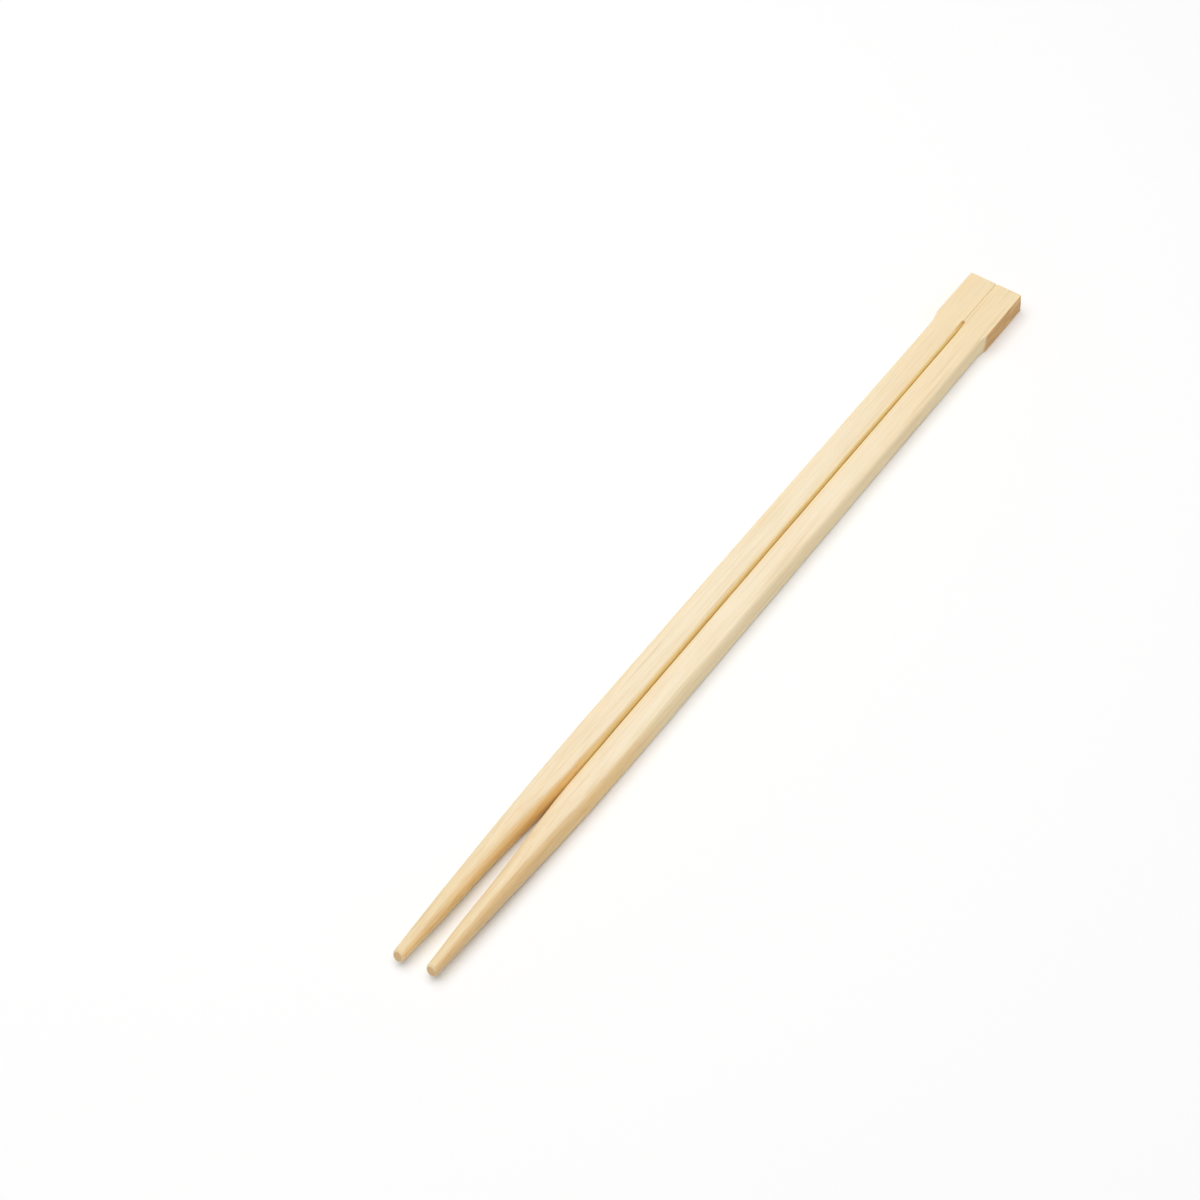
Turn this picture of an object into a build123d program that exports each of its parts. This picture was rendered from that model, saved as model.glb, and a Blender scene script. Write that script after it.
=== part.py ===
from build123d import *
import math
import os

# Twin bamboo chopsticks: one planed strip of bamboo, left joined at a square head.
# Two legs run from the head to round tips, and a score line in the head shows where they snap apart.
# X runs along the strip with the head at +X, Y across it, and Z up from the face it lies on.

# Strip, in millimetres
length = 210.0
thickness = 5.0

# Head, where the two sticks are still one
head_width = 12.9
head_length = 15.7
head_corner_radius = 0.35
head_end_chamfer = 0.25

# Score line along the middle of the head, on both broad faces
score_width = 0.4
score_depth = 0.3

# Shoulders, where each side of the head steps in to the flank of a leg along a hollow ramp
shoulder_depth = 0.4
shoulder_run = 2.5
shoulder_sag = 0.08

# Slit between the legs: it starts as a point inside the head and opens towards the tips
slit_start = 14.7
slit_point_length = 4.0
slit_width_root = 0.2
slit_width_tip = 0.3

# Axes that the legs are rounded about: how far outside the middle of its half each one starts, and their splay
axis_shift = 0.15
leg_splay = 0.2

# Rounding of the legs: what it takes off the long edges at both ends of the shaft, then a round taper
root_edge_cut = 0.39
shaft_edge_cut = 0.75
tip_radius = 1.25
taper_length = 60.0
taper_bulge = 0.33
taper_steps = 10
tip_chamfer = 0.15

# Clearances that let one cut pass right through or past another
through = 1.0
corner_clearance = 0.05

# Places along X that follow from the sizes above
head_end_x = length / 2
tip_x = -length / 2
shoulder_x = head_end_x - head_length
root_x = shoulder_x - shoulder_run
slit_start_x = head_end_x - slit_start
slit_full_x = slit_start_x - slit_point_length
trim_x = tip_x - through

# Half widths across Y, and the axis of a leg at the root and at the tip
head_side_y = head_width / 2
slit_root_y = slit_width_root / 2
slit_tip_y = slit_width_tip / 2
flank_root_y = head_side_y - shoulder_depth
flank_tip_y = flank_root_y + leg_splay
axis_root_y = flank_root_y / 2 + axis_shift
axis_tip_y = axis_root_y + leg_splay
mid_z = thickness / 2

# Radii of the rounding about a leg's axis: it flares at the shoulder until it clears the head's corners
leg_corner_reach = math.hypot(flank_root_y - axis_root_y, mid_z)
root_round_radius = leg_corner_reach - root_edge_cut
shaft_round_radius = leg_corner_reach - shaft_edge_cut
flare_radius = math.hypot(head_side_y - axis_root_y, mid_z) + corner_clearance


def taper_points(leg_reach):
    """Points of the taper, along and out from a leg's axis: straight, with a bulge at its middle."""
    points = []
    for step in range(taper_steps + 1):
        share = step / taper_steps
        along = leg_reach - taper_length + share * (taper_length - tip_chamfer)
        straight = shaft_round_radius + share * (tip_radius - shaft_round_radius)
        points.append((along, straight + 4 * taper_bulge * share * (1 - share)))
    return points


# Outline of the strip seen from above, with the slit left open between the legs.
# It runs past the tips, because the rounding trims the legs to their length.
with BuildPart() as strip:
    with BuildSketch(Plane.XY):
        with BuildLine():
            Polyline(
                (shoulder_x, head_side_y),
                (head_end_x, head_side_y),
                (head_end_x, -head_side_y),
                (shoulder_x, -head_side_y),
            )
            SagittaArc((shoulder_x, -head_side_y), (root_x, -flank_root_y), -shoulder_sag)
            Polyline(
                (root_x, -flank_root_y),
                (trim_x, -flank_tip_y),
                (trim_x, flank_tip_y),
                (root_x, flank_root_y),
            )
            SagittaArc((root_x, flank_root_y), (shoulder_x, head_side_y), -shoulder_sag)
        make_face()
        with BuildLine():
            Polyline(
                (slit_start_x, 0),
                (slit_full_x, slit_root_y),
                (trim_x - through, slit_tip_y),
                (trim_x - through, -slit_tip_y),
                (slit_full_x, -slit_root_y),
                close=True,
            )
        make_face(mode=Mode.SUBTRACT)
    extrude(amount=thickness)
    head_corners = strip.edges().filter_by(Axis.Z).group_by(Axis.X)[-1]
    fillet(head_corners, radius=head_corner_radius)
    head_end_edges = strip.faces().sort_by(Axis.X)[-1].edges().filter_by(Axis.Y)
    chamfer(head_end_edges, length=head_end_chamfer)

# Space that the rounding cutters leave: all of the head, and a turned form about each leg's axis
with BuildPart() as rounding:
    with BuildSketch(Plane.YZ.offset(shoulder_x)):
        with Locations((0, mid_z)):
            Rectangle(head_width + 2 * through, thickness + 2 * through)
    extrude(amount=head_length + through)
    for side in (1, -1):
        root_point = Vector(shoulder_x, side * axis_root_y, mid_z)
        tip_point = Vector(tip_x, side * axis_tip_y, mid_z)
        leg_axis = Axis(root_point, tip_point - root_point)
        leg_plane = Plane(origin=root_point, x_dir=tip_point - root_point, z_dir=(0, 0, 1))
        leg_reach = (tip_point - root_point).length
        with BuildSketch(leg_plane):
            with BuildLine():
                Polyline((leg_reach, 0), (-through, 0), (-through, flare_radius), (0, flare_radius))
                SagittaArc((0, flare_radius), (shoulder_run, root_round_radius), shoulder_sag)
                Line((shoulder_run, root_round_radius), (leg_reach - taper_length, shaft_round_radius))
                Polyline(
                    *taper_points(leg_reach),
                    (leg_reach, tip_radius - tip_chamfer),
                    (leg_reach, 0),
                )
            make_face()
        revolve(axis=leg_axis)

# The finished piece: the strip inside the rounding, scored on both broad faces
with BuildPart() as twin_chopsticks:
    add(strip.part)
    add(rounding.part, mode=Mode.INTERSECT)
    with BuildSketch(Plane.YZ.offset(root_x - slit_point_length)):
        for face_z, inward in ((thickness, -1), (0, 1)):
            with BuildLine():
                Polyline(
                    (-score_width / 2, face_z),
                    (0, face_z + inward * score_depth),
                    (score_width / 2, face_z),
                    close=True,
                )
            make_face()
    extrude(amount=head_end_x - root_x + slit_point_length + through, mode=Mode.SUBTRACT)

os.makedirs("parts", exist_ok=True)
twin_chopsticks.part.label = "twin_chopsticks"
export_step(twin_chopsticks.part, "parts/twin_chopsticks.step")
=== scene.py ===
import math
from collections import namedtuple

import bmesh
import bpy
from bpy.props import FloatProperty, FloatVectorProperty, PointerProperty
from mathutils import Matrix, Quaternion, Vector, noise


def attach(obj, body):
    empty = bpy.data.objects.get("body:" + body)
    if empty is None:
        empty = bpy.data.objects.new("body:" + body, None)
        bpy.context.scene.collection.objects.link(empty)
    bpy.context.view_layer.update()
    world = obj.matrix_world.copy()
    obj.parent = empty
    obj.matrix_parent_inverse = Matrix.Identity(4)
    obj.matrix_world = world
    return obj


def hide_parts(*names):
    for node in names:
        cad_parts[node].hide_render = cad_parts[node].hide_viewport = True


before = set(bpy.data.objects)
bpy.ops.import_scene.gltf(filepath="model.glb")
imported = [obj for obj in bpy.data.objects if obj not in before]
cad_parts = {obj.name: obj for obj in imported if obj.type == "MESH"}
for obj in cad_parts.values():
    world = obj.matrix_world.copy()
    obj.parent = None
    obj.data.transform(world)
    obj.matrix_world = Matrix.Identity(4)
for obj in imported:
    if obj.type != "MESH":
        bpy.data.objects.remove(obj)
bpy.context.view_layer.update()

bl_info = {
    "name": "Twin Bamboo Chopsticks",
    "version": (1, 0, 0),
    "blender": (4, 5, 0),
    "location": "View3D > Sidebar > Chopsticks",
    "description": "Shapes a pair of bamboo chopsticks joined at the head, and a plain studio to show them",
    "category": "Object",
}

# How many faces each flank, fold and flat has round a leg, and which steps of a ring lie on the slit's side
FLANK, FOLD, FLAT = 6, 12, 14
AROUND = 2 * FLANK + 4 * FOLD + 2 * FLAT
SLIT_SIDE = range(FLANK + 2 * FOLD + FLAT, 2 * FLANK + 2 * FOLD + FLAT + 1)

# How far a ring's close steps reach past a fold, and the least that a flank or a flat keeps, as angles
FOLD_MARGIN, LEAST_FLAT = math.radians(3.5), math.radians(4.0)
# How crisp a fold is on the legs, on the head and at least on the underside: a higher power is crisper
LEG_CRISPNESS, HEAD_CRISPNESS, FOOT_CRISPNESS = 32.0, 70.0, 60.0
# Edges that turn by more than this are shaded sharp
SHARP_ANGLE = math.radians(35)

# Lengths in metres. Points this close are one, and points this close to the middle plane are on it
SAME_PLACE, MID_PLANE = 1e-7, 1e-6
# By which the rounding at a shoulder clears the head's corners
CORNER_CLEARANCE = 0.00005
# Over which the slit, the turning of the legs and the sawn sides set in
CUT_STEP = 0.0003
# How far before a shoulder's ramp the folds begin to get crisper
CRISP_RUN = 0.001
# Over which the snapping line widens to its notch, and over which the cut across a tip slants
NOTCH_LENGTH, TIP_CUT = 0.001, 0.003
# How far the sawn tone reaches past a shoulder at the foot
SAW_SLANT = 0.0013
# Height over which the waves of sanding set in above the face it rests on
FLAT_FOOT = 0.001
# Length and width of those waves
WAVE_ALONG, WAVE_ACROSS = 0.009, 0.0025

# Depth of the slit's bevels where they begin, for their width there
GROOVE_STEEPNESS = 2
# Share of the thickness at which the slanting cut at the head end keeps the strip's length
END_PIVOT = 0.55
# Sine of the angle below a side from which the fuller foot is all there
FOOT_ONSET = 0.45

# How far a surface faces towards -Y, away from the soft box, down to -1, where a tone begins or is full. The
# taper's tone is partly the cut wood's own and partly painted shade, and the outer tone is painted shade
TAPER_SHADE_FULL = -0.92
OUTER_SHADE_BEGINS, OUTER_SHADE_FULL = -0.2, -0.65

# How a form or a tone comes and goes along the strip: a place and the value there, then another of each.
# Places in metres: from the head end for the score, from the tip for the trim, else from the taper's start.
FADES = {
    "score": (-0.002, 1.0, -0.0008, 0.0),
    "trim begins": (0.010, 0.0, 0.030, 1.0),
    "trim ends": (0.028, 1.0, 0.048, 0.0),
    "fill begins": (-0.045, 0.0, -0.024, 1.0),
    "fill ends": (-0.024, 1.0, 0.0, 0.0),
    "side slope": (-0.020, 0.0, 0.010, 1.0),
    # The slit's tone below is painted bounce light, which lifts the shade inside the slit
    "slit": (-0.025, 0.0, -0.005, 1.0),
    "turned all round": (-0.045, 0.7, -0.015, 0.0),
    "turned beside slit": (-0.020, 1.0, 0.010, 0.35),
    # The taper's tone below is partly the cut wood's own and partly painted shade, and the outer tone is
    # painted shade
    "taper_tone_and_shade": (-0.005, 1.0, 0.012, 0.0),
    "tapered begins facing": (-0.040, -0.2, -0.025, -0.4),
    "tapered on outer side": (-0.045, 1.0, -0.010, 0.55),
    "outer": (-0.035, 1.0, -0.012, 0.0),
}

# Where a tone begins across a leg and where it is full, as shares of the way to an edge
RIMS = {"slit": (0.97, 1.02), "score": (0.995, 1.01), "sawn": (0.97, 0.995), "turned": (0.55, 1.0)}

# Tones that each vertex carries a share of. The slit's tone is painted bounce light, the taper's tone is
# partly painted shade, and the outer tone is painted shade
TONES = ("sawn", "slit", "score", "turned", "taper_tone_and_shade", "outer")

# Where along the strip its forms begin and end, and the measures of its cross-section at one place
Places = namedtuple("Places", ("head_end", "shoulder", "root", "slit_head", "slit_full", "taper", "tip"))
Section = namedtuple("Section", (
    "axis", "outward", "inward", "inner", "height", "mid",
    "rounding", "crispness", "groove", "crown", "fullness", "foot",
))


def srgb(code):
    """An sRGB hex colour as linear red, green and blue."""
    parts = [int(code[i:i + 2], 16) / 255 for i in (0, 2, 4)]
    return tuple(p / 12.92 if p <= 0.04045 else ((p + 0.055) / 1.055) ** 2.4 for p in parts)


def length_setting(name, millimetres, description):
    """A length that the panel shows in millimetres."""
    return FloatProperty(
        name=name, description=description, default=millimetres / 1000,
        min=0.0, precision=5, subtype="DISTANCE", unit="LENGTH",
    )


def colour_setting(name, code, description):
    """A colour given as an sRGB hex code."""
    return FloatVectorProperty(
        name=name, description=description, default=srgb(code),
        min=0.0, max=1.0, size=3, subtype="COLOR",
    )


class StripSizes(bpy.types.PropertyGroup):
    """Sizes of the bamboo strip and of the cuts that make two legs of it."""

    length: length_setting("Length", 210.0, "From the head end to the tips")
    thickness: length_setting("Thickness", 5.0, "Of the planed strip")
    head_width: length_setting("Head Width", 12.9, "Across the joined head")
    head_length: length_setting("Head Length", 15.7, "From the end to the shoulders")
    corner_radius: length_setting("Corner Radius", 0.5, "Of the upright corners of the head end")
    end_rounding: length_setting("End Rounding", 0.4, "Of the broad edges of the head end")
    end_slant: length_setting("End Slant", 0.6, "How far the saw cut at the head end leans back at the top")
    score_width: length_setting("Score Width", 0.3, "Of the snapping line in the head")
    score_depth: length_setting("Score Depth", 0.16, "Of the snapping line in the head")
    notch_width: length_setting("Notch Width", 1.1, "Of the snapping line where it runs out at the head end")
    notch_depth: length_setting("Notch Depth", 0.7, "Of the snapping line where it runs out at the head end")
    groove_width: length_setting("Groove Width", 1.2, "Across the bevels that lead into the slit")
    groove_start: length_setting("Groove Start", 0.8, "Across those bevels where the slit begins")
    groove_depth: length_setting("Groove Depth", 1.45, "At which those bevels would meet")
    side_slope: length_setting("Side Slope", 0.3, "How much further out the sides stand at the foot")
    shoulder_depth: length_setting("Shoulder Depth", 0.4, "Step from the head side to the leg flank")
    shoulder_run: length_setting("Shoulder Run", 2.5, "Length of the hollow ramp at a shoulder")
    shoulder_hollow: length_setting("Shoulder Hollow", 0.08, "Depth of that ramp's hollow")
    slit_start: length_setting("Slit Start", 14.7, "From the head end to the point of the slit")
    slit_point: length_setting("Slit Point", 4.0, "Length over which the slit opens to its width")
    slit_root: length_setting("Slit at Root", 0.2, "Width of the slit at the shoulders")
    slit_tip: length_setting("Slit at Tips", 0.3, "Width of the slit at the tips, before the taper")
    leg_axis: length_setting("Leg Axis", 3.175, "From the strip's middle to the line a leg is rounded about")
    leg_splay: length_setting("Leg Splay", 0.2, "How much further out that line is at a tip")
    root_radius: length_setting("Root Rounding", 3.42, "Radius about that line at the shoulder")
    shaft_radius: length_setting("Shaft Rounding", 3.06, "Radius about that line where the taper starts")
    tip_radius: length_setting("Tip Radius", 1.25, "Of the round tips")
    taper_length: length_setting("Taper Length", 60.0, "Of the turned taper to a tip")
    taper_bulge: length_setting("Taper Bulge", 0.33, "How far the taper swells past a straight cone")
    tip_chamfer: length_setting("Tip Chamfer", 0.3, "Round the end face of a tip")
    tip_slant: length_setting("Tip Slant", 0.9, "How far the cut across a tip slants from top to foot")
    tip_skew: length_setting("Tip Skew", 1.2, "How much further the +Y tip reaches than the other")
    foot_cut: length_setting("Foot Cut", 0.42, "What the rounding takes off the edges on the floor side")
    inner_fullness: length_setting("Inner Fullness", 0.3, "How much fuller the edges beside the slit are")
    inner_trim: length_setting("Inner Trim", 0.4, "What the middle of a taper has lost on its inner side")
    inner_fill: length_setting("Inner Fill", 0.45, "How much fuller the -Y leg is there")
    crown_radius: length_setting("Crown Radius", 12.0, "Of the slight swelling of a leg's top, side to side")
    crown_centre: length_setting("Crown Centre", 0.5, "How far outside a leg's axis that swelling is highest")
    unevenness: length_setting("Unevenness", 0.02, "How far sanding has moved the surface in and out")


class BambooColours(bpy.types.PropertyGroup):
    """Colours of the bamboo, from its pale flats to its cut ends."""

    flat: colour_setting("Flat", "F0E4CA", "Sanded flats of the strip")
    peach: colour_setting("Peach Blotch", "EEDBB8", "Broad warm blotches in the flats")
    olive: colour_setting("Olive Blotch", "EBDEBD", "Broad green-grey blotches in the flats")
    streak: colour_setting("Streak", "DAC192", "Lengthwise streaks between the fibres")
    bundle: colour_setting("Fibre Bundle", "BF985F", "Dark bundles, dots in a cut end and dashes along a leg")
    turned: colour_setting("Turned Side", "F5DFB3", "Rounded sides of a leg")
    # The outer side's colour is painted shade: that side of the -Y taper faces away from the soft box, and is
    # darkened for it
    outer: colour_setting("Outer Side", "E0BF8A", "Darker outer side of the -Y taper, nearer the rind")
    # The fork side's gold is painted shade where the parted legs shade each other and bounce warm light
    fork: colour_setting("Fork Side", "F1C272", "Deeper gold of the tapered sides where the two legs part")
    # The taper sides' colour is partly the cut wood's own and partly painted shade, as it is laid only on
    # sides facing -Y
    taper_tone_and_shade: colour_setting("Tapered Side", "F7D190", "Sides of a taper, where a cutter went through fibres")
    tip: colour_setting("Tip", "DAC9A4", "Duller wood, into which the tapers pass at the tips")
    head: colour_setting("Head Flat", "ECD7AC", "Riper wood, into which the flats pass at the head end")
    sawn: colour_setting("Sawn Side", "DDB16E", "Sides of the head, sawn and hardly sanded")
    scorched: colour_setting("Scorched Patch", "C0843E", "Patches of those sides that the blade rubbed brown")
    cut_fibre: colour_setting("Cut Fibre", "CF9A55", "Fibres that the cutter laid open along the tapers")
    # The slit wall's colour is painted bounce light: bright and warm, it lifts the shade inside the slit
    slit: colour_setting("Slit Wall", "FAE4AC", "Fresh warm wood inside the slit")
    score: colour_setting("Score", "EDD4A9", "Wood that the blade bruised along the snapping line")
    end_grain: colour_setting("End Grain", "DCBB8A", "End faces cut across the fibres")


class StudioSettings(bpy.types.PropertyGroup):
    """Camera, light and floor of the studio."""

    azimuth: FloatProperty(
        name="Camera Azimuth", description="Heading of the camera round the strip, from +X towards +Y",
        default=math.radians(216.8678), subtype="ANGLE", unit="ROTATION",
    )
    elevation: FloatProperty(
        name="Camera Elevation", description="Height of the camera above the floor, as an angle",
        default=math.radians(52.3089), subtype="ANGLE", unit="ROTATION",
    )
    roll: FloatProperty(
        name="Camera Roll", description="Turn of the camera about its own line of sight",
        default=math.radians(-1.2103), subtype="ANGLE", unit="ROTATION",
    )
    distance: length_setting("Camera Distance", 441.41, "From the camera to the point it looks at")
    aim_x: FloatProperty(
        name="Aim X", description="Where the camera looks at the floor, along the strip",
        default=-0.017295, precision=5, subtype="DISTANCE", unit="LENGTH",
    )
    aim_y: FloatProperty(
        name="Aim Y", description="Where the camera looks at the floor, across the strip",
        default=0.022397, precision=5, subtype="DISTANCE", unit="LENGTH",
    )
    lens: FloatProperty(
        name="Lens", description="Focal length on a 36 mm sensor, in millimetres", default=64.915, min=1.0,
    )
    box_power: FloatProperty(
        name="Box Power", description="Of the soft box overhead, in watts", default=9.63, min=0.0,
    )
    box_size: length_setting("Box Size", 1150.0, "Side of the square soft box")
    box_distance: length_setting("Box Distance", 970.0, "From the middle of the strip to the soft box")
    box_lean: FloatProperty(
        name="Box Lean", description="How far from overhead, towards +Y, the soft box hangs",
        default=math.radians(8), subtype="ANGLE", unit="ROTATION",
    )
    fill: FloatProperty(name="Fill", description="Level of the light from all round", default=0.378, min=0.0)
    floor_size: length_setting("Floor Size", 4000.0, "Side of the square floor")
    floor: colour_setting("Floor", "F9FCFF", "Colour of the floor")
    light: colour_setting("Light", "FFF9F2", "Colour of the soft box")
    around: colour_setting("Light All Round", "F9FBFF", "Colour of the light from all round, a little cooler")


def ramp(x, x0, value0, x1, value1):
    """The straight line from (x0, value0) to (x1, value1), level beyond both."""
    share = min(1.0, max(0.0, (x - x0) / (x1 - x0)))
    return value0 + share * (value1 - value0)


def fade(x, start, name):
    """The value at x of a fade from the table, with its places counted from start."""
    first, first_value, last, last_value = FADES[name]
    return ramp(x, start + first, first_value, start + last, last_value)


def rim(reached, edge, name):
    """The share of a tone at a point that has reached so far on its way to an edge."""
    begins, full = RIMS[name]
    return ramp(reached, edge * begins, 0.0, edge * full, 1.0)


def ease(share):
    """A share that leaves 0 and comes to 1 softly."""
    return share ** 2 * (3 - 2 * share)


def drawn_in(radius, from_end):
    """How far a rounded edge at the head end draws a side in, so far from that end."""
    if from_end >= radius:
        return 0.0
    return radius - math.sqrt(radius ** 2 - (radius - from_end) ** 2)


def places_along(sizes):
    """Where along the strip its forms begin and end."""
    head_end, tip = sizes.length / 2, -sizes.length / 2
    shoulder = head_end - sizes.head_length
    slit_head = head_end - sizes.slit_start
    return Places(
        head_end=head_end, shoulder=shoulder, root=shoulder - sizes.shoulder_run,
        slit_head=slit_head, slit_full=slit_head - sizes.slit_point,
        taper=tip + sizes.taper_length, tip=tip,
    )


def stations(sizes, at):
    """Places along the strip where a ring is put, from the tips to the head end."""
    # Each mark is a place and the number of rings from there to the next one. Rings lie close in the last
    # millimetre of a tip, from 3 mm before a shoulder's ramp to the slit's start, and near the head end.
    marks = [
        (at.tip, 3), (at.tip + sizes.tip_chamfer, 4), (at.tip + 0.001, 58), (at.taper, 120),
        (at.root - 0.003, 12), (at.root, 18), (at.shoulder, 4), (at.slit_head - CUT_STEP, 4),
        (at.slit_head, 14), (at.head_end - 0.0015, 6), (at.head_end - 0.0006, 12),
    ]
    places = []
    for (start, count), (end, _) in zip(marks, marks[1:] + [(at.head_end, 0)]):
        places += [start + (end - start) * step / count for step in range(count)]
    return places + [at.head_end]


def leg_section(sizes, at, x):
    """Half the strip's cross-section at x, as reaches from the axis that a leg is rounded about."""
    side, mid = sizes.head_width / 2, sizes.thickness / 2
    flank_root = side - sizes.shoulder_depth

    # The leg's axis, the wall of the slit, and the side with its hollow ramp at the shoulder
    axis = ramp(x, at.tip, sizes.leg_axis + sizes.leg_splay, at.shoulder, sizes.leg_axis)
    if x > at.slit_full:
        inner = ramp(x, at.slit_full, sizes.slit_root / 2, at.slit_head, 0.0)
    else:
        inner = ramp(x, at.tip, sizes.slit_tip / 2, at.slit_full, sizes.slit_root / 2)
    down_ramp = ramp(x, at.shoulder, 0.0, at.root, 1.0)
    hollow = 4 * sizes.shoulder_hollow * down_ramp * (1 - down_ramp)
    if x >= at.root:
        outer = side - down_ramp * sizes.shoulder_depth - hollow
    else:
        outer = ramp(x, at.tip, flank_root + sizes.leg_splay, at.root, flank_root)

    # The head end: rounded upright corners and rounded broad edges
    from_end = at.head_end - x
    outer -= drawn_in(sizes.corner_radius, from_end)
    height = mid - drawn_in(sizes.end_rounding, from_end)

    # The rounding about the axis, from the shoulder ramp through the shaft to the taper
    flare = math.hypot(side - axis, mid) + CORNER_CLEARANCE
    if x >= at.shoulder:
        rounding = None
    elif x >= at.root:
        rounding = flare + down_ramp * (sizes.root_radius - flare) + hollow
    elif x >= at.taper:
        rounding = ramp(x, at.taper, sizes.shaft_radius, at.root, sizes.root_radius)
    else:
        share = min(1.0, (at.taper - x) / (sizes.taper_length - sizes.tip_chamfer))
        bulge = 4 * sizes.taper_bulge * share * (1 - share)
        rounding = sizes.shaft_radius + share * (sizes.tip_radius - sizes.shaft_radius) + bulge
        rounding -= max(0.0, sizes.tip_chamfer - (x - at.tip))
    crispness = ramp(x, at.root - CRISP_RUN, LEG_CRISPNESS, at.shoulder, HEAD_CRISPNESS)

    # The V along the middle, as half its width and its depth: the snapping line, then the bevels of the slit
    if x > at.slit_head:
        groove = (
            ramp(from_end, 0.0, sizes.notch_width, NOTCH_LENGTH, sizes.score_width) / 2,
            ramp(from_end, 0.0, sizes.notch_depth, NOTCH_LENGTH, sizes.score_depth),
        )
    else:
        opening = at.slit_head - CUT_STEP
        begun = ramp(x, opening, 1.0, at.slit_head, 0.0)
        width = ramp(x, at.slit_full, sizes.groove_width, opening, sizes.groove_start)
        depth = ramp(x, at.slit_full, sizes.groove_depth, opening, sizes.groove_start * GROOVE_STEEPNESS)
        groove = (
            (sizes.score_width + begun * (width - sizes.score_width)) / 2,
            sizes.score_depth + begun * (depth - sizes.score_depth),
        )
    crown = ramp(x, at.root, 1 / sizes.crown_radius, at.shoulder, 0.0)

    # The inner side and the foot are fuller along the shaft, which fades out over two thirds of the taper,
    # and the inner side is leaner where the legs part
    on_shaft = ramp(x, at.tip + sizes.taper_length / 3, 0.0, at.taper, 1.0)
    trimmed = fade(x, at.tip, "trim begins") * fade(x, at.tip, "trim ends")
    fullness = sizes.inner_fullness * on_shaft - sizes.inner_trim * ease(trimmed)
    foot = 0.0
    if rounding:
        foot = max(0.0, math.hypot(outer - axis, mid) - sizes.foot_cut - rounding) * on_shaft
    return Section(
        axis=axis, outward=outer - axis, inward=axis - inner, inner=inner, height=height, mid=mid,
        rounding=rounding, crispness=crispness, groove=groove, crown=crown, fullness=fullness, foot=foot,
    )


def reach(sizes, section, angle):
    """Distance from a leg's axis to its surface: flats, groove and rounding, melted together at the folds."""
    across, up = math.cos(angle), abs(math.sin(angle))
    crispness, crown, rounding = section.crispness, section.crown, section.rounding
    limits = [across / section.outward if across > 0 else -across / section.inward]
    if math.sin(angle) < 0:
        crispness = max(crispness, FOOT_CRISPNESS)
        crown = 0.0
        rounding = rounding and rounding + section.foot * min(1.0, (up / FOOT_ONSET) ** 2)
    # The top swells a little: its height falls with the square of the distance from the crown's line
    bend = crown * across ** 2 / 2
    rise = up - crown * across * sizes.crown_centre
    drop = section.height - crown * sizes.crown_centre ** 2 / 2
    limits.append((rise + math.sqrt(rise ** 2 + 4 * bend * drop)) / (2 * drop))
    if rounding:
        limits.append(1 / (rounding + section.fullness * (1 - across) / 2))
    half_groove, depth = section.groove
    size = math.hypot(depth, half_groove)
    facing = (half_groove * up - depth * across) / size
    distance = (depth * (section.axis - half_groove) + half_groove * section.mid) / size
    limits.append(max(0.0, facing) / distance)
    largest = max(limits)
    return 1 / (largest * sum((limit / largest) ** crispness for limit in limits) ** (1 / crispness))


def folds(width, height, rounding, groove=None):
    """Angles above the side at which a flat side ends and the flat top starts."""
    low = high = math.atan2(height, width)
    if rounding:
        low = min(low, math.acos(min(1.0, width / rounding)))
        high = max(high, math.asin(min(1.0, height / rounding)))
    if groove:
        low, high = min(low, groove[0]), max(high, groove[1])
    return low, high


def ring_angles(at, section, x):
    """Angles of one ring's vertices, close together round the folds."""
    half_groove, depth = section.groove
    slope = depth / half_groove
    groove = (
        math.atan2(section.mid - depth + slope * section.inner, section.inward),
        math.atan2(section.height, section.axis - half_groove + (section.mid - section.height) / slope),
    )
    low_out, high_out = folds(section.outward, section.height, section.rounding)
    low_in, high_in = folds(section.inward, section.height, section.rounding, groove)
    low_out = max(low_out - FOLD_MARGIN, LEAST_FLAT)
    high_out = min(high_out + FOLD_MARGIN, math.pi / 2 - LEAST_FLAT)
    high_in = min(high_in + FOLD_MARGIN, math.pi / 2 - LEAST_FLAT)
    if x < at.slit_head - SAME_PLACE:
        low_in = max(low_in - FOLD_MARGIN, LEAST_FLAT)
    half, full = math.pi, 2 * math.pi
    marks = (
        -low_out, low_out, high_out, half - high_in, half - low_in,
        half + low_in, half + high_in, full - high_out, full - low_out,
    )
    counts = (FLANK, FOLD, FLAT, FOLD, FLANK, FOLD, FLAT, FOLD)
    angles = []
    for start, end, count in zip(marks, marks[1:], counts):
        angles += [start + (end - start) * step / count for step in range(count)]
    return angles + [angles[0] + full]


def ring_tones(sizes, at, section, top, x, z, facing, up):
    """Shares of the tones at a point so far to the outer side and so far up or down from a leg's axis."""
    # Sides of the head and walls of the slit are sawn, and the legs' round sides are turned. The slit's walls
    # also get a bright warm tone, which is painted bounce light in the slit's shade
    if facing < 0:
        bevel = section.axis - section.groove[0]
        in_slit = ramp(x, at.slit_head - CUT_STEP, 1.0, at.slit_head, 0.0)
        # The slit's tone is painted bounce light in the slit's shade
        yield "slit", fade(x, at.taper, "slit") * in_slit * rim(-facing, bevel, "slit")
        yield "score", fade(x, at.head_end, "score") * (1 - in_slit) * rim(-facing, bevel, "score")
    else:
        boundary = at.shoulder - SAW_SLANT * (1 - z / sizes.thickness) - CUT_STEP
        yield "sawn", ramp(x, boundary, 0.0, at.shoulder, 1.0) * rim(facing, section.outward, "sawn")
    on_leg = ramp(x, at.shoulder - CUT_STEP, 1.0, at.shoulder, 0.0)
    side = on_leg * max(fade(x, at.taper, "turned all round"), 1 - rim(up, top, "turned"))
    yield "turned", side * (1.0 if facing > 0 else fade(x, at.taper, "turned beside slit"))


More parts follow.
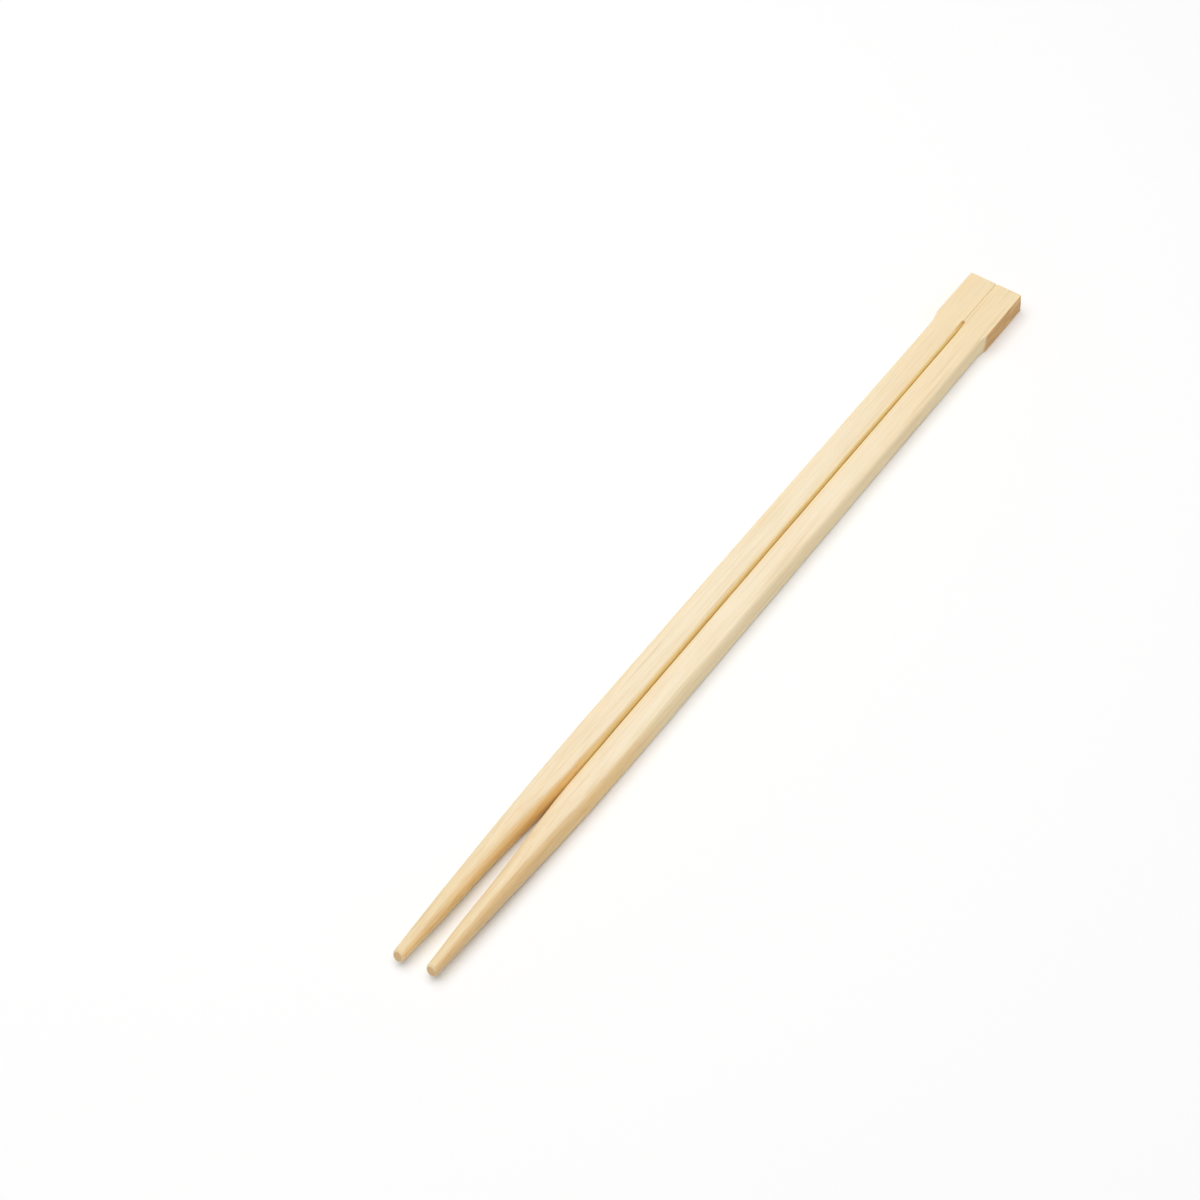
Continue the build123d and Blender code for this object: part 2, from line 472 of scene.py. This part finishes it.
def bend_round_leg(sizes, at, rings, bm, tones):
    """Bend a flat grid to the tube of one leg and half the head, and return its vertices in the middle."""
    sections = [leg_section(sizes, at, x) for x in rings]
    angles = [ring_angles(at, section, x) for section, x in zip(sections, rings)]
    tops = [reach(sizes, section, math.pi / 2) for section in sections]
    mid_plane = set()
    for vert in bm.verts:
        ring = round((vert.co.x + 0.5) * (len(rings) - 1))
        step = round((vert.co.y + 0.5) * AROUND)
        x, section, angle = rings[ring], sections[ring], angles[ring][step]
        out = reach(sizes, section, angle)
        facing, rise = out * math.cos(angle), out * math.sin(angle)
        y, z = section.axis + facing, section.mid + rise
        if x >= at.slit_head - SAME_PLACE and step in SLIT_SIDE:
            y = 0.0
            mid_plane.add(vert)
        for name, share in ring_tones(sizes, at, section, tops[ring], x, z, facing, abs(rise)):
            vert[tones[name]] = share
        # The sides were sawn a little out of square, and stand out at the foot
        out_share = max(0.0, math.cos(angle)) * fade(x, at.taper, "side slope")
        vert.co = (x, y + sizes.side_slope * out_share * (1 - z / sizes.thickness), z)
    return mid_plane


def cut_ends_aslant(sizes, at, bm):
    """Lean the cuts across the tips and the head end, and let the +Y tip reach further than the other."""
    for vert in bm.verts:
        share = ramp(vert.co.x, at.tip, 1.0, 0.0, 0.0)
        vert.co.x -= math.copysign(sizes.tip_skew / 2 * share, vert.co.y)
        share = ramp(vert.co.x, at.tip, 1.0, at.tip + TIP_CUT, 0.0)
        vert.co.x += sizes.tip_slant * share * (vert.co.z - sizes.thickness / 2) / (2 * sizes.tip_radius)
        share = ramp(vert.co.x, at.shoulder, 0.0, at.head_end, 1.0)
        vert.co.x += sizes.end_slant * share * (END_PIVOT - vert.co.z / sizes.thickness)


def finish_by_hand(sizes, at, bm, tones):
    """Lay a warmer tone and painted shade on the -Y sides of the tapers, painted shade on the outer side of
    the -Y taper, fill the -Y leg where the legs part, and leave the surface uneven.
    """
    taper_tone_and_shade, outer = tones["taper_tone_and_shade"], tones["outer"]
    bm.normal_update()
    for vert in bm.verts:
        # The -Y sides of the tapers face away from the soft box: they get a warmer tone that is partly the
        # cut wood's own and partly painted shade
        x, facing = vert.co.x, vert.normal.y
        begins = fade(x, at.taper, "tapered begins facing")
        vert[taper_tone_and_shade] = fade(x, at.taper, "taper_tone_and_shade") * ramp(facing, begins, 0.0, TAPER_SHADE_FULL, 1.0)
        if vert.co.y < 0:
            # The outer side of the -Y taper gets painted shade, and less of the taper's tone
            vert[outer] = fade(x, at.taper, "outer") * ramp(facing, OUTER_SHADE_BEGINS, 0.0, OUTER_SHADE_FULL, 1.0)
            vert[taper_tone_and_shade] *= fade(x, at.taper, "tapered on outer side")
            filled = fade(x, at.taper, "fill begins") * fade(x, at.taper, "fill ends")
            vert.co.y += sizes.inner_fill * ease(filled) * max(0.0, facing)
        # Sanding leaves waves, but not on the face it rests on, nor down in the snapping line
        if abs(vert.co.y) > MID_PLANE:
            here = Vector((vert.co.x / WAVE_ALONG, vert.co.y / WAVE_ACROSS, vert.co.z / WAVE_ACROSS))
            worn = ramp(vert.co.z, 0.0, 0.0, FLAT_FOOT, 1.0)
            vert.co += vert.normal * sizes.unevenness * worn * noise.noise(here)


def add_node(tree, kind, inputs=None, **settings):
    """Add a node with its settings, and fill its inputs with values or with other nodes' outputs."""
    node = tree.nodes.new(kind)
    for name, value in settings.items():
        setattr(node, name, value)
    for name, value in (inputs or {}).items():
        if isinstance(value, bpy.types.NodeSocket):
            tree.links.new(value, node.inputs[name])
        else:
            node.inputs[name].default_value = value
    return node


def sanded_bamboo(colours):
    """Bamboo, planed, turned and sanded, with no coat: dry, matt and pale cream, with straight fibres.

    The eye gets low contrast streaks along the whole length, broad faint blotches, a warmer tone on the -Y
    sides of the tapers that is partly painted shade, painted shade on the outer side of the -Y taper, a
    bright warm tone in the slit that is painted bounce light, and dark bundle dots in the cut ends.
    """
    material = bpy.data.materials.new("sanded_bamboo")
    material.use_nodes = True
    tree = material.node_tree
    tree.nodes.clear()
    place = add_node(tree, "ShaderNodeTexCoord").outputs["Object"]
    levels = {"along": add_node(tree, "ShaderNodeSeparateXYZ", {"Vector": place}).outputs["X"]}

    # Patterns, with their length along the strip and width across it in millimetres
    for name, length, width, kind, result, settings in (
        # Broad blotches of the culm wall
        ("blotch", 35, 4, "ShaderNodeTexNoise", "Fac", {"Detail": 2.0, "Roughness": 0.5}),
        ("other blotch", 22, 3, "ShaderNodeTexNoise", "Fac", {"Detail": 1.0, "Roughness": 0.5}),
        # Streaks of softer tissue
        ("streak", 30, 0.7, "ShaderNodeTexNoise", "Fac", {"Detail": 2.0, "Roughness": 0.5}),
        # Fibres are 0.02 mm thick, too fine to show, so they are drawn 0.3 mm wide
        ("fibre", 9, 0.3, "ShaderNodeTexNoise", "Fac", {"Detail": 2.0, "Roughness": 0.7}),
        # Vascular bundles, 1.1 mm apart where they show as dashes, and 0.6 mm apart as dots in the cut ends
        ("bundle", 40, 1.1, "ShaderNodeTexVoronoi", "Distance", {"Randomness": 1.0}),
        ("dot", 40, 0.6, "ShaderNodeTexVoronoi", "Distance", {"Randomness": 0.8}),
        # Mottling of the sawn sides
        ("mottle", 5, 0.9, "ShaderNodeTexNoise", "Fac", {"Detail": 3.0, "Roughness": 0.6}),
        # Fibres laid open by the cutter, as fine as the others and so drawn 0.28 mm wide
        ("laid open", 6, 0.28, "ShaderNodeTexNoise", "Fac", {"Detail": 1.0, "Roughness": 0.5}),
    ):
        scale = (1000 / length, 1000 / width, 1000 / width)
        stretched = add_node(tree, "ShaderNodeMapping", {"Vector": place, "Scale": scale}).outputs["Vector"]
        levels[name] = add_node(tree, kind, {"Vector": stretched, "Scale": 1.0, **settings}).outputs[result]

    for name in (*TONES, "end_grain"):
        levels[name] = add_node(tree, "ShaderNodeAttribute", attribute_name=name).outputs["Fac"]

    # Shares that follow from a level, and the roughness: the level, two values of it, and what each gives
    for name, level, low, high, first, last in (
        ("ripe", "along", 0.03, 0.1, 0.0, 0.75),
        ("peach", "blotch", 0.42, 0.65, 0.0, 0.6),
        ("olive", "other blotch", 0.5, 0.7, 0.0, 0.5),
        ("dull", "along", -0.06, -0.095, 0.0, 0.4),
        ("past fork", "along", -0.058, -0.08, 0.0, 1.0),
        ("scorched", "mottle", 0.42, 0.6, 0.0, 0.75),
        ("dotted", "dot", 0.15, 0.4, 0.6, 0.0),
        # Fibres laid open show most where the taper's painted shade is full
        ("cutter reached", "along", -0.035, -0.055, 0.0, 1.0),
        ("opened", "laid open", 0.5, 0.72, 0.0, 0.35),
        ("cut deep", "taper_tone_and_shade", 0.0, 0.5, 0.6, 1.0),
        ("streaked", "streak", 0.45, 0.75, 0.0, 0.25),
        ("fibrous", "fibre", 0.45, 0.8, 0.0, 0.35),
        ("dashed", "bundle", 0.1, 0.3, 0.22, 0.0),
        ("roughness", "fibre", 0.3, 0.7, 0.5, 0.66),
    ):
        levels[name] = add_node(tree, "ShaderNodeMapRange", {
            "Value": levels[level], "From Min": low, "From Max": high, "To Min": first, "To Max": last,
        }).outputs["Result"]
    cut = add_node(
        tree, "ShaderNodeMath", {0: levels["cutter reached"], 1: levels["opened"]}, operation="MULTIPLY",
    ).outputs[0]
    levels["cut"] = add_node(
        tree, "ShaderNodeMath", {0: cut, 1: levels["cut deep"]}, operation="MULTIPLY",
    ).outputs[0]

    # Coats of colour, from the lowest up: what each makes, its share, and the colours under and over it
    coats = {name: (*getattr(colours, name), 1.0) for name in BambooColours.__annotations__}
    for name, share, under, over in (
        ("wood", "ripe", "flat", "head"),
        ("wood", "peach", "wood", "peach"),
        ("wood", "olive", "wood", "olive"),
        ("wood", "turned", "wood", "turned"),
        ("wood", "dull", "wood", "tip"),
        # The gold, the taper's tone and the outer coat are painted shade on the -Y sides of the tapers, the
        # taper's tone partly the cut wood's own
        ("gold", "past fork", "fork", "taper_tone_and_shade"),
        ("wood", "taper_tone_and_shade", "wood", "gold"),
        ("wood", "outer", "wood", "outer"),
        ("saw cut", "scorched", "sawn", "scorched"),
        ("wood", "sawn", "wood", "saw cut"),
        # The slit coat is painted bounce light in the slit's shade
        ("wood", "slit", "wood", "slit"),
        ("wood", "score", "wood", "score"),
        ("cut end", "dotted", "end_grain", "bundle"),
        ("wood", "end_grain", "wood", "cut end"),
        ("wood", "cut", "wood", "cut_fibre"),
        ("wood", "streaked", "wood", "streak"),
        ("wood", "fibrous", "wood", "streak"),
        ("wood", "dashed", "wood", "bundle"),
    ):
        coats[name] = add_node(
            tree, "ShaderNodeMix", {0: levels[share], 6: coats[under], 7: coats[over]}, data_type="RGBA",
        ).outputs[2]

    relief = add_node(tree, "ShaderNodeMath", {0: levels["streak"], 1: levels["fibre"]}, operation="ADD")
    bump = add_node(tree, "ShaderNodeBump", {
        "Strength": 0.35, "Distance": 0.00004, "Height": relief.outputs[0],
    })
    shader = add_node(tree, "ShaderNodeBsdfPrincipled", {
        "Base Color": coats["wood"],
        "Roughness": levels["roughness"],
        "IOR": 1.5,
        "Subsurface Weight": 0.35,
        "Subsurface Radius": (1.0, 0.8, 0.55),
        "Subsurface Scale": 0.0009,
        "Normal": bump.outputs["Normal"],
    })
    add_node(tree, "ShaderNodeOutputMaterial", {"Surface": shader.outputs["BSDF"]})
    return material


class OBJECT_OT_bamboo_strip(bpy.types.Operator):
    """Shape the joined chopsticks from one tube of faces, bent to the strip's sections and mirrored"""

    bl_idname = "object.bamboo_strip"
    bl_label = "Bamboo Strip"
    bl_options = {"REGISTER", "UNDO"}

    def execute(self, context):
        sizes = context.scene.strip_sizes
        at = places_along(sizes)
        rings = stations(sizes, at)
        bm = bmesh.new()
        bmesh.ops.create_grid(bm, x_segments=len(rings) - 1, y_segments=AROUND, size=0.5)
        for name in TONES:
            bm.verts.layers.float.new(name)
        tones = {name: bm.verts.layers.float[name] for name in TONES}
        end_grain = bm.faces.layers.float.new("end_grain")
        mid_plane = bend_round_leg(sizes, at, rings, bm, tones)

        # Close the tube along its seam and at both ends, open it where the two legs are one, and mirror it
        bmesh.ops.remove_doubles(bm, verts=bm.verts, dist=SAME_PLACE)
        open_edges = [edge for edge in bm.edges if edge.is_boundary]
        for face in bmesh.ops.holes_fill(bm, edges=open_edges, sides=0)["faces"]:
            face[end_grain] = 1.0
        between = [face for face in bm.faces if all(vert in mid_plane for vert in face.verts)]
        bmesh.ops.delete(bm, geom=between, context="FACES")
        bmesh.ops.mirror(
            bm, geom=bm.verts[:] + bm.edges[:] + bm.faces[:], matrix=Matrix.Identity(4),
            merge_dist=SAME_PLACE, axis="Y",
        )
        bmesh.ops.remove_doubles(bm, verts=bm.verts, dist=SAME_PLACE)
        bmesh.ops.recalc_face_normals(bm, faces=bm.faces)

        cut_ends_aslant(sizes, at, bm)
        finish_by_hand(sizes, at, bm, tones)

        mesh = bpy.data.meshes.new("bamboo_strip")
        bm.to_mesh(mesh)
        bm.free()
        mesh.shade_smooth()
        mesh.set_sharp_from_angle(angle=SHARP_ANGLE)
        strip = bpy.data.objects.new("bamboo_strip", mesh)
        context.scene.collection.objects.link(strip)
        mesh.materials.append(sanded_bamboo(context.scene.bamboo_colours))
        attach(strip, "root")
        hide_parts("twin_chopsticks")
        return {"FINISHED"}


class SCENE_OT_white_studio(bpy.types.Operator):
    """Lay a white floor, hang a soft box, and put the camera where the picture was taken"""

    bl_idname = "scene.white_studio"
    bl_label = "White Studio"
    bl_options = {"REGISTER", "UNDO"}

    def execute(self, context):
        scene, studio = context.scene, context.scene.studio
        bm = bmesh.new()
        bmesh.ops.create_grid(bm, x_segments=1, y_segments=1, size=studio.floor_size / 2)
        mesh = bpy.data.meshes.new("studio_floor")
        bm.to_mesh(mesh)
        bm.free()
        floor = bpy.data.objects.new("studio_floor", mesh)
        scene.collection.objects.link(floor)

        # Matt white board: it keeps the shadow and shows no gloss
        material = bpy.data.materials.new("matt_white_board")
        material.use_nodes = True
        tree = material.node_tree
        tree.nodes.clear()
        board = add_node(tree, "ShaderNodeBsdfDiffuse", {"Color": (*studio.floor, 1.0)}).outputs["BSDF"]
        add_node(tree, "ShaderNodeOutputMaterial", {"Surface": board})
        mesh.materials.append(material)

        # Soft light from all round, and plain white for the camera, reflections and what is seen through
        world = bpy.data.worlds.new("white_room")
        world.use_nodes = True
        tree = world.node_tree
        tree.nodes.clear()
        path = add_node(tree, "ShaderNodeLightPath").outputs
        shown = path["Is Camera Ray"]
        for ray in ("Is Glossy Ray", "Is Transmission Ray"):
            shown = add_node(tree, "ShaderNodeMath", {0: shown, 1: path[ray]}, operation="MAXIMUM").outputs[0]
        around = add_node(tree, "ShaderNodeBackground", {
            "Color": (*studio.around, 1.0), "Strength": studio.fill,
        }).outputs["Background"]
        white = add_node(tree, "ShaderNodeBackground", {
            "Color": (1.0, 1.0, 1.0, 1.0), "Strength": 1.0,
        }).outputs["Background"]
        surface = add_node(tree, "ShaderNodeMixShader", {0: shown, 1: around, 2: white}).outputs["Shader"]
        add_node(tree, "ShaderNodeOutputWorld", {"Surface": surface})
        scene.world = world

        # A wide soft box overhead
        lamp = bpy.data.lights.new("soft_box", "AREA")
        lamp.shape = "SQUARE"
        lamp.size = studio.box_size
        lamp.energy = studio.box_power
        lamp.color = studio.light
        soft_box = bpy.data.objects.new("soft_box", lamp)
        overhead = Vector((0.0, math.sin(studio.box_lean), math.cos(studio.box_lean)))
        soft_box.location = overhead * studio.box_distance
        soft_box.rotation_euler = (-studio.box_lean, 0.0, 0.0)
        scene.collection.objects.link(soft_box)

        lens = bpy.data.cameras.new("camera")
        lens.sensor_fit = "HORIZONTAL"
        lens.sensor_width = 36.0
        lens.lens = studio.lens
        lens.clip_start = 0.01
        camera = bpy.data.objects.new("camera", lens)
        back = Vector((
            math.cos(studio.elevation) * math.cos(studio.azimuth),
            math.cos(studio.elevation) * math.sin(studio.azimuth),
            math.sin(studio.elevation),
        ))
        camera.location = Vector((studio.aim_x, studio.aim_y, 0.0)) + back * studio.distance
        rolled = back.to_track_quat("Z", "Y") @ Quaternion((0, 0, 1), studio.roll)
        camera.rotation_euler = rolled.to_euler()
        scene.collection.objects.link(camera)
        scene.camera = camera
        scene.view_settings.view_transform = "Standard"
        return {"FINISHED"}


class VIEW3D_PT_chopsticks(bpy.types.Panel):
    """Sizes, colours and steps of the bamboo chopsticks"""

    bl_idname = "VIEW3D_PT_chopsticks"
    bl_label = "Twin Chopsticks"
    bl_space_type = "VIEW_3D"
    bl_region_type = "UI"
    bl_category = "Chopsticks"

    def draw(self, context):
        for group, operator in (
            (context.scene.strip_sizes, None),
            (context.scene.bamboo_colours, OBJECT_OT_bamboo_strip.bl_idname),
            (context.scene.studio, SCENE_OT_white_studio.bl_idname),
        ):
            box = self.layout.box()
            for name in group.bl_rna.properties.keys():
                if name not in {"rna_type", "name"}:
                    box.prop(group, name)
            if operator:
                box.operator(operator)


CLASSES = (
    StripSizes, BambooColours, StudioSettings,
    OBJECT_OT_bamboo_strip, SCENE_OT_white_studio, VIEW3D_PT_chopsticks,
)


def register():
    for cls in CLASSES:
        bpy.utils.register_class(cls)
    bpy.types.Scene.strip_sizes = PointerProperty(type=StripSizes)
    bpy.types.Scene.bamboo_colours = PointerProperty(type=BambooColours)
    bpy.types.Scene.studio = PointerProperty(type=StudioSettings)


def unregister():
    for name in ("studio", "bamboo_colours", "strip_sizes"):
        delattr(bpy.types.Scene, name)
    for cls in reversed(CLASSES):
        bpy.utils.unregister_class(cls)


def main():
    register()
    bpy.ops.object.bamboo_strip()
    bpy.ops.scene.white_studio()


if __name__ == "__main__":
    main()
